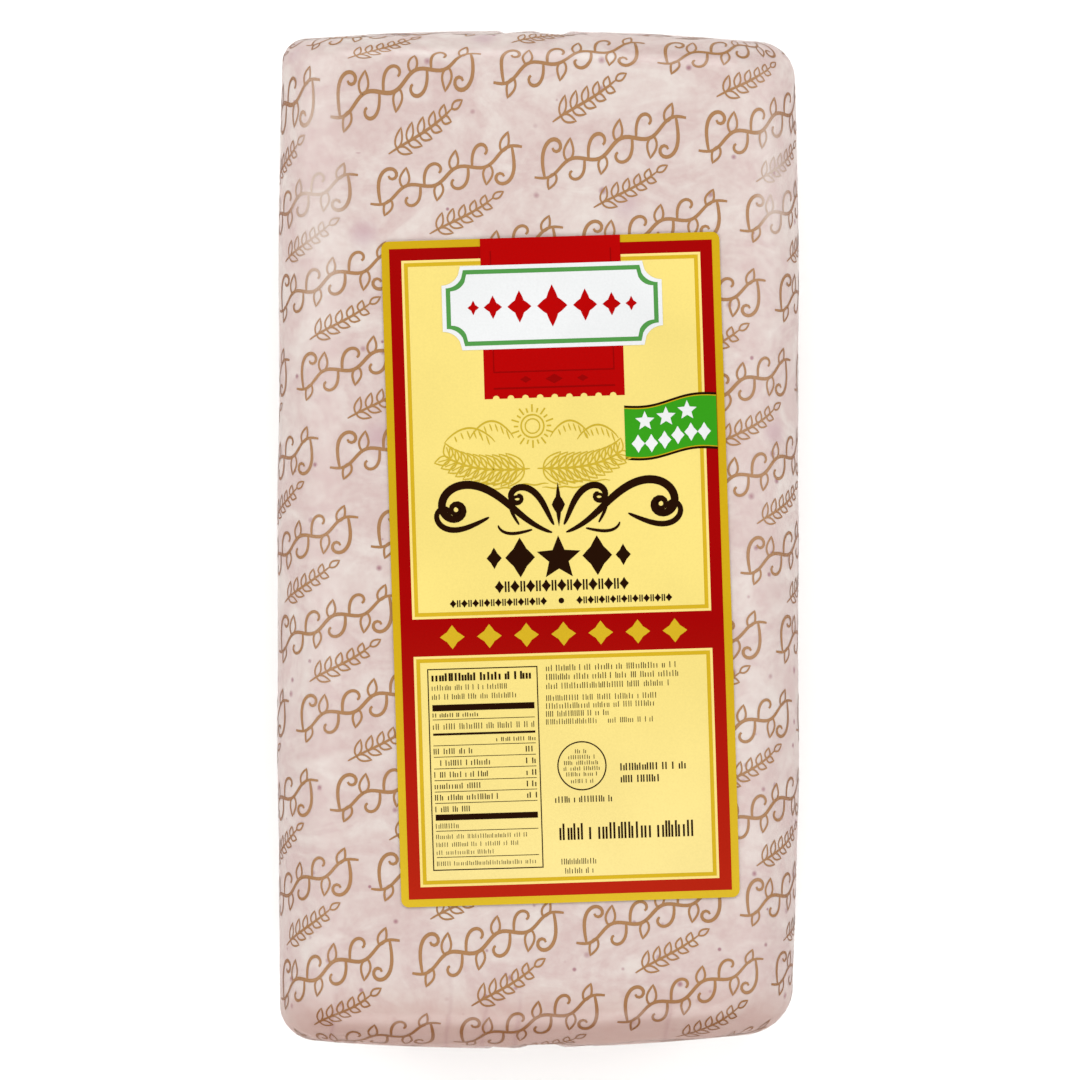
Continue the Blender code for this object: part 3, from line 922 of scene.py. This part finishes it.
class HAM_OT_label(bpy.types.Operator):
    """Makes the label's stock and its printed frame and panels"""

    bl_idname = "ham.label"
    bl_label = "Label and frame"

    def execute(self, context):
        """A sheet with rounded corners, and rectangles inset by the widths of the bands, each a ply higher."""
        sizes = context.scene.ham_sizes
        colours = context.scene.ham_colours
        half_p, half_q = sizes.label_width / MM / 2, sizes.label_length / MM / 2
        corner = sizes.label_corner / MM
        rounding = np.radians((12, 30, 50, 70, 84, 90))
        ends = half_q - corner + corner * np.sin(rounding)
        q = np.concatenate([-ends[::-1], lines_between(corner - half_q, half_q - corner, 4.0), ends])
        into_corner = np.clip(np.abs(q) - (half_q - corner), 0, corner)
        half = half_p - corner + np.sqrt(corner**2 - into_corner**2)
        share = np.linspace(-1, 1, 54)
        design = pairs(share[None, :] * half[:, None], np.broadcast_to(q[:, None], (len(q), 54)))
        gold = printing_ink("gold_ink_on_coated_paper", colours.gold, colours.gold_foot)
        stock = thickened("label_stock", mesh_of("label_stock", [on_label(design, LABEL_GAP)]), LABEL_THICKNESS)
        shown("label_stock", stock, gold, ["label"])

        inset = sizes.gold_band / MM
        red = printing_ink("red_ink_on_coated_paper", colours.red, colours.red_foot)
        frame_design = field(inset - half_p, half_p - inset, inset - half_q, half_q - inset)
        spread_pieces("label_red_frame", [frame_design], LABEL_TOP + PLY, red, on_label)

        inset += sizes.red_band / MM
        panels = ((PANEL_FOOT, half_q - inset), (inset - half_q, LOWER_PANEL_HEAD))
        layers = (
            ("label_pale_line", "pale_line_ink", (colours.pale,), 0.0),
            ("label_gold_rule", "gold_rule_ink", (colours.gold_line,), sizes.pale_line / MM),
            (
                "label_cream_panels",
                "cream_ink_on_coated_paper",
                (colours.cream, colours.cream_foot),
                (sizes.pale_line + sizes.gold_rule) / MM,
            ),
        )
        for level, (name, ink_name, inks, step_in) in enumerate(layers):
            side = half_p - inset - step_in
            designs = [field(-side, side, low + step_in, high - step_in) for low, high in panels]
            ink_material = printing_ink(ink_name, *inks)
            spread_pieces(name, designs, LABEL_TOP + (2 + level) * PLY, ink_material, on_label)
        return {"FINISHED"}


def notched(p, foot, first, pitch, radius, count):
    """The foot's height at p, with half-round notches of that radius cut up into it."""
    nearest = first + np.clip(np.round((p - first) / pitch), 0, count - 1) * pitch
    return foot + np.sqrt(np.clip(radius**2 - (p - nearest) ** 2, 0, None))


def plaque_field(half_p, half_q, bite):
    """A plaque with quarter-round bites out of its corners."""
    left_bite = np.linspace(-half_p, -half_p + bite, 10)
    middle = np.linspace(-half_p + bite, half_p - bite, 30)[1:-1]
    p = np.concatenate([left_bite, middle, np.linspace(half_p - bite, half_p, 10)])
    into_bite = np.clip(np.abs(p) - (half_p - bite), 0, bite)
    half = half_q - np.sqrt(np.clip(bite**2 - (bite - into_bite) ** 2, 0, None))
    return between(p + PLAQUE[0], PLAQUE[1] - half, PLAQUE[1] + half, 9)


def flag_field(inset):
    """The flag: both edges rise to the right and dip and swell in one sine wave."""
    p = np.linspace(FLAG[0], FLAG[1], 34)
    share = (p - FLAG[0]) / (FLAG[1] - FLAG[0])
    wave = -0.9 * np.sin(2 * math.pi * share)
    high = 51.2 + 3.3 * share + wave - inset
    low = 34.0 + 2.6 * share + wave + inset
    return between(p, low, high, 7)


def flag_middle(share):
    """The height of the line half way between the flag's edges, at that share of the way across."""
    return 42.6 + 2.95 * share - 0.9 * math.sin(2 * math.pi * share)


class HAM_OT_emblem(bpy.types.Operator):
    """Makes the ribbon, plaque and flag at the label's head"""

    bl_idname = "ham.emblem"
    bl_label = "Ribbon, plaque and flag"

    def execute(self, context):
        """Fields between curves for the ribbon, the plaque and the flag, with lozenges and rules on them."""
        colours = context.scene.ham_colours
        top = context.scene.ham_sizes.label_length / MM / 2
        left, right, foot = RIBBON
        base = LABEL_TOP + 5 * PLY
        red = printing_ink("ribbon_red_ink", colours.ribbon)
        shade = printing_ink("ribbon_shade_ink", colours.ribbon_dark)
        white = printing_ink("white_ink", colours.white)
        green = printing_ink("plaque_green_ink", colours.ring)
        flag_green = printing_ink("flag_green_ink", colours.green)
        black = printing_ink("flag_edge_ink", colours.black)
        gold = printing_ink("flag_gold_ink", colours.gold)

        pitch = 4.62
        first = (left + right) / 2 - 4 * pitch
        around_notch = 1.07 * np.sin(np.radians((-90, -75, -55, -30, 0, 30, 55, 75, 90)))
        p = (first + pitch * np.arange(9))[:, None] + around_notch
        p = np.unique(np.concatenate([p.ravel(), lines_between(left, right)]).round(4))
        low = notched(p, foot, first, pitch, 1.07, 9)
        spread_pieces("label_ribbon", [between(p, low, np.full(p.shape, top), 16)], base, red)
        rules = [
            field(left + 3.0, left + 3.35, foot + 8.6, top - 4.0),
            field(right - 3.35, right - 3.0, foot + 8.6, top - 4.0),
            field(left + 3.0, right - 3.0, foot + 3.0, foot + 3.5),
            field(left + 3.0, right - 3.0, foot + 8.2, foot + 8.6),
            lozenge((left + right) / 2, foot + 5.9, 5.4, 3.0),
            lozenge((left + right) / 2 - 9, foot + 5.9, 3.4, 2.0),
            lozenge((left + right) / 2 + 9, foot + 5.9, 3.4, 2.0),
        ]
        spread_pieces("label_ribbon_rules", rules, base + PLY, shade)

        half_p, half_q = PLAQUE_HALF
        spread_pieces("label_plaque", [plaque_field(half_p, half_q, 6.0)], base + 2 * PLY, white)
        spread_pieces("label_plaque_line", [plaque_field(half_p - 1.3, half_q - 1.3, 5.6)], base + 3 * PLY, green)
        spread_pieces("label_plaque_middle", [plaque_field(half_p - 2.7, half_q - 2.7, 5.2)], base + 4 * PLY, white)
        marks = [lozenge(PLAQUE[0], PLAQUE[1], 9.6, 13.4, 0.25)]
        for side in (-1, 1):
            for away, wide, tall in ((10.4, 7.6, 10.2), (18.8, 5.8, 7.4), (25.0, 3.6, 4.6)):
                marks.append(lozenge(PLAQUE[0] + side * away, PLAQUE[1], wide, tall, 0.25))
        spread_pieces("label_plaque_marks", marks, base + 5 * PLY, red)

        spread_pieces("label_flag_edge", [flag_field(0.0)], base, black)
        spread_pieces("label_flag_line", [flag_field(0.75)], base + PLY, gold)
        spread_pieces("label_flag", [flag_field(1.05)], base + 2 * PLY, flag_green)
        marks = []
        for k in range(6):
            share = (k + 0.5) / 6
            p = FLAG[0] + 2.0 + (FLAG[1] - FLAG[0] - 4.0) * share
            marks.append(lozenge(p, flag_middle(share) - 3.4, 4.2, 5.8, 0.12))
        for share in (0.22, 0.45, 0.68):
            marks.append(star(FLAG[0] + (FLAG[1] - FLAG[0]) * share, flag_middle(share) + 3.7, 6.4, 5, 0.45))
        spread_pieces("label_flag_marks", marks, base + 3 * PLY, white)
        return {"FINISHED"}


def border(left, right, q, tall, count):
    """A row of lozenges with a pair of upright bars between each two."""
    pitch = (right - left) / count
    marks = []
    for k in range(count):
        p = left + (k + 0.5) * pitch
        marks.append(lozenge(p, q, pitch * 0.6, tall, 0.1))
        if k:
            for off in (-0.1, 0.1):
                at = p - pitch / 2 + off * pitch
                marks.append(field(at - 0.055 * pitch, at + 0.055 * pitch, q - tall * 0.42, q + tall * 0.42))
    return marks


def mirrored(path, middle):
    """The path mirrored across the upright line p = middle."""
    return pairs(2 * middle - path[:, 0], path[:, 1])


def flourish():
    """A thick and thin pen flourish: scrolls away from a middle leaf, the same on both sides."""
    middle = -0.6
    paths = (
        # The long scroll out and up from the middle, and the one that answers it
        (curl((middle + 2.2, 11.8), 18, (0.05, 0.03, -0.01, -0.05, -0.10, -0.17, -0.30, -0.55, -0.9), 66, 64), 2.6),
        (curl((middle + 22.0, 17.2), -28, (0.02, 0.02, 0.10, 0.22, 0.42, 0.8), 28, 36), 1.8),
        # The inner scroll and two tendrils
        (curl((middle + 1.6, 14.2), 62, (0.04, -0.02, -0.10, -0.24, -0.50, -0.9), 29, 40), 2.1),
        (curl((middle + 12.6, 14.6), 60, (-0.02, 0.06, 0.20, 0.5, 0.9), 13, 22), 1.1),
        (curl((middle + 8.5, 12.9), -14, (0.0, 0.04, 0.16, 0.4), 12, 20), 1.0),
    )
    strokes = []
    for path, thick in paths:
        strokes += [stroke(side, pen(len(path), 0.4, thick)) for side in (path, mirrored(path, middle))]
    strokes.append(lozenge(middle, 20.6, 4.2, 14.0, 0.3))
    return strokes


def branches():
    """Two laurel branches under a small sun with hills and ground lines: stems, leaf outlines, midribs, rays."""
    middle = -8.0
    stem = curl((middle + 1.2, 32.2), -2, (0.0, 0.014, 0.032, 0.050), 27, 46)
    strokes = []
    for side in (1, -1):
        path = stem if side == 1 else mirrored(stem, middle)
        strokes.append(stroke(path, pen(46, 0.3, 0.7)))
        for k, place in enumerate(range(3, 46, 4)):
            ahead = path[place] - path[place - 1]
            heading = math.degrees(math.atan2(ahead[1], ahead[0]))
            long = 7.6 - 0.25 * k
            for lean in (44, -44):
                strokes.append(stroke(leaf(path[place], heading + lean, long, 2.9, 15), 0.45))
                strokes.append(stroke(curl(path[place], heading + lean, (0.0, 0.0), long * 0.75, 4), 0.35))
    centre = np.array((middle, 45.6))
    strokes.append(ring(centre[0], centre[1], 3.6, 0.5, 30))
    strokes.append(ring(centre[0], centre[1], 2.3, 0.4, 24))
    for k in range(20):
        heading = 18.0 * k
        start = curl(centre, heading, (0.0, 0.0), 4.5, 2)[1]
        strokes.append(stroke(curl(start, heading, (0.0, 0.0), 2.4 if k % 2 else 1.4, 4), 0.5))
    hills = ((-36.0, -20.0, 41.0, 4.6), (-28.0, -14.0, 42.0, 5.6), (-2.5, 10.0, 42.0, 5.0), (6.0, 19.0, 41.0, 4.4))
    for left, right, foot, rise in hills:
        share = np.linspace(0, 1, 17)
        crest = pairs(left + (right - left) * share, foot + rise * np.sin(math.pi * share) ** 0.8)
        strokes.append(stroke(crest, pen(17, 0.2, 0.6)))
        for k in range(3, 15, 2):
            hatch = curl(crest[k] + (0.3, -0.8), -70, (-0.05, 0.05), 1.6 + 0.12 * k, 5)
            strokes.append(stroke(hatch, pen(5, 0.15, 0.45)))
    ground = ((-33.0, -15.0, 27.8), (-12.5, -3.5, 27.2), (-1.0, 16.0, 27.8), (-25.0, -11.0, 26.2), (-5.5, 9.0, 26.0))
    for left, right, q in ground:
        p = np.linspace(left, right, 13)
        strokes.append(stroke(pairs(p, q + 0.25 * np.sin(p)), pen(13, 0.15, 0.5)))
    return strokes


class HAM_OT_ornament(bpy.types.Operator):
    """Prints the branches, the flourish and the bold marks on the upper panel and the crossbar"""

    bl_idname = "ham.ornament"
    bl_label = "Branches, flourish and marks"

    def execute(self, context):
        """Pen strokes and filled shapes laid out about the panel's middle."""
        colours = context.scene.ham_colours
        base = LABEL_TOP + 5 * PLY
        ochre = printing_ink("ochre_line_ink", colours.drawing)
        black = printing_ink("black_ink", colours.black)
        gold = printing_ink("gold_mark_ink", colours.gold_line)
        spread_pieces("label_branches", branches(), base, ochre)
        spread_pieces("label_flourish", flourish(), base + PLY, black)
        middle = -1.0
        marks = [star(middle, 3.6, 14.5, 5, 0.45)]
        for side in (-1, 1):
            marks.append(lozenge(middle + side * 12.2, 4.2, 9.4, 12.6, 0.12))
            marks.append(lozenge(middle + side * 20.4, 4.2, 4.8, 6.8, 0.12))
        marks += border(-22.5, 21.9, -4.9, 4.0, 9)
        marks += border(-36.6, -4.4, -9.8, 2.6, 9)
        marks += border(3.4, 35.2, -9.8, 2.6, 9)
        marks.append(disc(-0.6, -9.8, 0.9))
        spread_pieces("label_marks", marks, base, black)
        row = [lozenge(p, -20.3, 7.8, 7.6, 0.16) for p in np.linspace(-35.4, 35.0, 7)]
        spread_pieces("label_crossbar_marks", row, LABEL_TOP + 2 * PLY, gold)
        return {"FINISHED"}


class HAM_OT_small_print(bpy.types.Operator):
    """Prints the ruled box, the circle and the rows of small ticks"""

    bl_idname = "ham.small_print"
    bl_label = "Ruled box and small print"

    def execute(self, context):
        """Rules and rows of ticks at fixed heights, with the ticks' steps drawn from a seeded chance."""
        chance = np.random.default_rng(7)
        left, right = -43.7, -8.8
        head, foot = -30.2, -94.0
        line = 0.35
        inner_left, inner_right = left + 1.3, right - 1.3
        bars = [
            field(left, right, head - line, head),
            field(left, right, foot, foot + line),
            field(left, left + line, foot, head),
            field(right - line, right, foot, head),
            field(inner_left, inner_right, -43.6, -41.6),
            field(inner_left, inner_right, -51.3, -50.6),
            field(inner_left, inner_right, -78.15, -76.25),
        ]
        for q in (-46.3, -54.5, -58.1, -61.8, -65.5, -69.1, -72.7, -81.5, -89.8):
            bars.append(field(inner_left, inner_right, q - 0.1, q + 0.1))
        # Each row of ticks: its left and right end, its height on the label, how tall its ticks are, and their weight
        rows = [
            (inner_left, inner_right, -32.9, 2.5, 0.26),
            (inner_left, -18.5, -36.2, 1.7),
            (inner_left, -15.5, -39.1, 1.7),
            (inner_left, -28.0, -44.9, 1.3, 0.2),
            (inner_left, inner_right, -48.5, 1.9),
            (-22.5, inner_right, -53.0, 1.3, 0.2),
        ]
        ends = (-29.5, -24.0, -25.5, -27.5, -22.5, -31.5)
        for q, end in zip((-56.3, -60.0, -63.7, -67.3, -70.9, -74.6), ends):
            indent = 2.0 if q == -60.0 else 0.0
            rows.append((inner_left + indent, end, q, 1.8, 0.16))
            if q != -74.6:
                rows.append((inner_right - 3.2, inner_right, q, 1.8, 0.2))
        rows += [
            (inner_left, -34.5, -79.9, 1.6),
            (inner_left, -13.5, -83.3, 1.4),
            (inner_left, -16.0, -85.8, 1.4),
            (inner_left, -24.0, -88.3, 1.4),
            (inner_left, inner_right, -91.8, 1.4),
            (-6.1, 36.3, -31.0, 1.9),
            (-6.1, 36.6, -33.8, 1.9),
            (-6.2, 33.0, -36.7, 1.9),
            (-6.3, 28.5, -40.5, 1.8),
            (-6.4, 29.0, -43.0, 1.8),
            (-6.5, 13.5, -45.5, 1.8),
            (-6.6, 9.5, -48.0, 1.7),
            (13.0, 27.5, -48.0, 1.7),
            (16.4, 37.2, -62.9, 2.3, 0.19),
            (16.4, 29.5, -66.7, 2.3, 0.19),
            (-4.5, 13.5, -72.7, 2.0, 0.17),
            (-3.5, 39.8, -82.9, 5.2, 0.12),
            (-3.1, 7.9, -92.3, 1.8),
            (-2.0, 7.0, -95.2, 1.8),
        ]
        bars += [tick_row(chance, *row) for row in rows]
        bars.append(ring(4.3, -62.2, 7.6, 0.4))
        for up, half in ((4.6, 2.0), (2.8, 4.2), (1.0, 5.6), (-0.8, 5.8), (-2.6, 5.0), (-4.8, 3.6)):
            bars.append(tick_row(chance, 4.3 - half, 4.3 + half, -62.2 + up, 1.3, 0.16))
        black = printing_ink("small_print_ink", context.scene.ham_colours.black)
        spread_pieces("label_small_print", bars, LABEL_TOP + 5 * PLY, black)
        return {"FINISHED"}


class HAM_OT_clips(bpy.types.Operator):
    """Bends a wire clip round each gathered neck"""

    bl_idname = "ham.clips"
    bl_label = "Wire clips"

    def execute(self, context):
        """A circle carried along a helix about the neck, its radius falling as a quarter circle at both ends."""
        material = drawn_wire(context.scene.ham_colours)
        wire = context.scene.ham_sizes.wire_radius
        run = 2 * math.pi * CLIP_RADIUS * CLIP_TURNS
        rounding = wire * (1 - np.cos(np.linspace(0, math.pi / 2, 7)))
        gone = np.concatenate([rounding, np.linspace(wire, run - wire, 90)[1:-1], run - rounding[::-1]])
        from_end = np.clip(np.minimum(gone, run - gone) / wire, 0, 1)
        thickness = wire * np.sqrt(1 - (1 - from_end) ** 2)
        turned = gone / run * CLIP_TURNS
        angle = 2 * math.pi * turned + CLIP_START
        sides = np.arange(20) / 20 * 2 * math.pi
        for name, outward in (("clip_wire_near", -1), ("clip_wire_far", 1)):
            floor = float(end_height(0.0, 0.0, outward > 0)) - DIMPLE_DEPTH
            y = outward * (floor + CLIP_STAND + CLIP_PITCH * turned)
            centre = np.stack([CLIP_RADIUS * np.cos(angle), y, HALF_HEIGHT + CLIP_RADIUS * np.sin(angle)], axis=-1)
            away = np.stack([np.cos(angle), np.zeros(len(angle)), np.sin(angle)], axis=-1)
            lengthways = np.array((0.0, 1.0, 0.0))
            ring_points = np.cos(sides)[None, :, None] * away[:, None] + np.sin(sides)[None, :, None] * lengthways
            points = centre[:, None] + thickness[:, None, None] * ring_points
            mesh = sewn(mesh_of(name, [points], closed=True), True)
            shown(name, mesh, material, [name.replace("_wire", "")])
        return {"FINISHED"}


def soft_box(name, place, aim, size, power):
    """An area light at place, turned to face aim."""
    data = bpy.data.lights.new(name, "AREA")
    data.shape = "RECTANGLE"
    data.size, data.size_y = size
    data.energy = power
    lamp = bpy.data.objects.new(name, data)
    bpy.context.scene.collection.objects.link(lamp)
    lamp.location = place
    direction = lamp.location.copy()
    direction.x, direction.y, direction.z = (a - b for a, b in zip(aim, place))
    lamp.rotation_euler = direction.to_track_quat("-Z", "Y").to_euler()


class HAM_OT_stage(bpy.types.Operator):
    """Makes the ground, the studio lights and the camera"""

    bl_idname = "ham.stage"
    bl_label = "Stage"

    def execute(self, context):
        """A wide pale ground, soft boxes about the loaf, and a camera that looks straight down on the label."""
        scene = context.scene
        share = np.linspace(-4, 4, 9)
        x, y = np.meshgrid(share, share)
        mesh = mesh_of("ground", [np.stack([x, y, np.zeros(x.shape)], axis=-1)])
        mesh.materials.append(matt_ground(scene.ham_colours))
        ground = bpy.data.objects.new("ground", mesh)
        scene.collection.objects.link(ground)

        aim = (0.0, 0.0, 0.06)
        soft_box("key_box", (0.0, 2.0, 2.6), aim, (3.2, 1.8), 75.0)
        soft_box("left_box", (-2.3, 0.4, 1.9), aim, (1.8, 2.6), 26.0)
        soft_box("right_box", (2.3, 0.2, 1.9), aim, (1.8, 2.6), 23.5)
        soft_box("fill_box", (0.0, -2.2, 2.3), aim, (3.2, 1.8), 65.0)
        soft_box("left_low_box", (-0.95, 0.34, 0.26), (-0.07, 0.1, 0.1), (0.4, 0.25), 1.2)
        soft_box("right_low_box", (0.95, 0.26, 0.26), (0.07, 0.1, 0.1), (0.4, 0.25), 1.1)

        world = bpy.data.worlds.new("studio")
        world.use_nodes = True
        background = world.node_tree.nodes["Background"]
        background.inputs["Color"].default_value = (1.0, 1.0, 1.0, 1.0)
        background.inputs["Strength"].default_value = 0.40
        scene.world = world
        scene.view_settings.view_transform = "Standard"

        data = bpy.data.cameras.new("camera")
        data.sensor_width = 36.0
        data.lens = data.sensor_width * CAMERA_AWAY / FRAME_WIDTH
        data.clip_end = 20.0
        camera = bpy.data.objects.new("camera", data)
        camera.location = (FRAME_MIDDLE[0], FRAME_MIDDLE[1], HEIGHT / 2 + CAMERA_AWAY)
        scene.collection.objects.link(camera)
        scene.camera = camera
        return {"FINISHED"}


OPERATORS = (
    HAM_OT_meat,
    HAM_OT_casing,
    HAM_OT_casing_print,
    HAM_OT_label,
    HAM_OT_emblem,
    HAM_OT_ornament,
    HAM_OT_small_print,
    HAM_OT_clips,
    HAM_OT_stage,
)


class HAM_PT_panel(bpy.types.Panel):
    """Lists the loaf's sizes, colours and pieces"""

    bl_label = "Ham loaf"
    bl_idname = "HAM_PT_panel"
    bl_space_type = "VIEW_3D"
    bl_region_type = "UI"
    bl_category = "Ham loaf"

    def draw(self, context):
        column = self.layout.column()
        for group in (context.scene.ham_sizes, context.scene.ham_colours):
            for key in group.bl_rna.properties.keys():
                if key not in ("rna_type", "name"):
                    column.prop(group, key)
        for operator in OPERATORS:
            column.operator(operator.bl_idname)


CLASSES = (HamSizes, HamColours, *OPERATORS, HAM_PT_panel)


def register():
    for kind in CLASSES:
        bpy.utils.register_class(kind)
    bpy.types.Scene.ham_sizes = bpy.props.PointerProperty(type=HamSizes)
    bpy.types.Scene.ham_colours = bpy.props.PointerProperty(type=HamColours)


def unregister():
    del bpy.types.Scene.ham_colours
    del bpy.types.Scene.ham_sizes
    for kind in reversed(CLASSES):
        bpy.utils.unregister_class(kind)


def main():
    """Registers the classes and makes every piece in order."""
    register()
    bpy.ops.ham.meat()
    bpy.ops.ham.casing()
    bpy.ops.ham.casing_print()
    bpy.ops.ham.label()
    bpy.ops.ham.emblem()
    bpy.ops.ham.ornament()
    bpy.ops.ham.small_print()
    bpy.ops.ham.clips()
    bpy.ops.ham.stage()


if __name__ == "__main__":
    main()
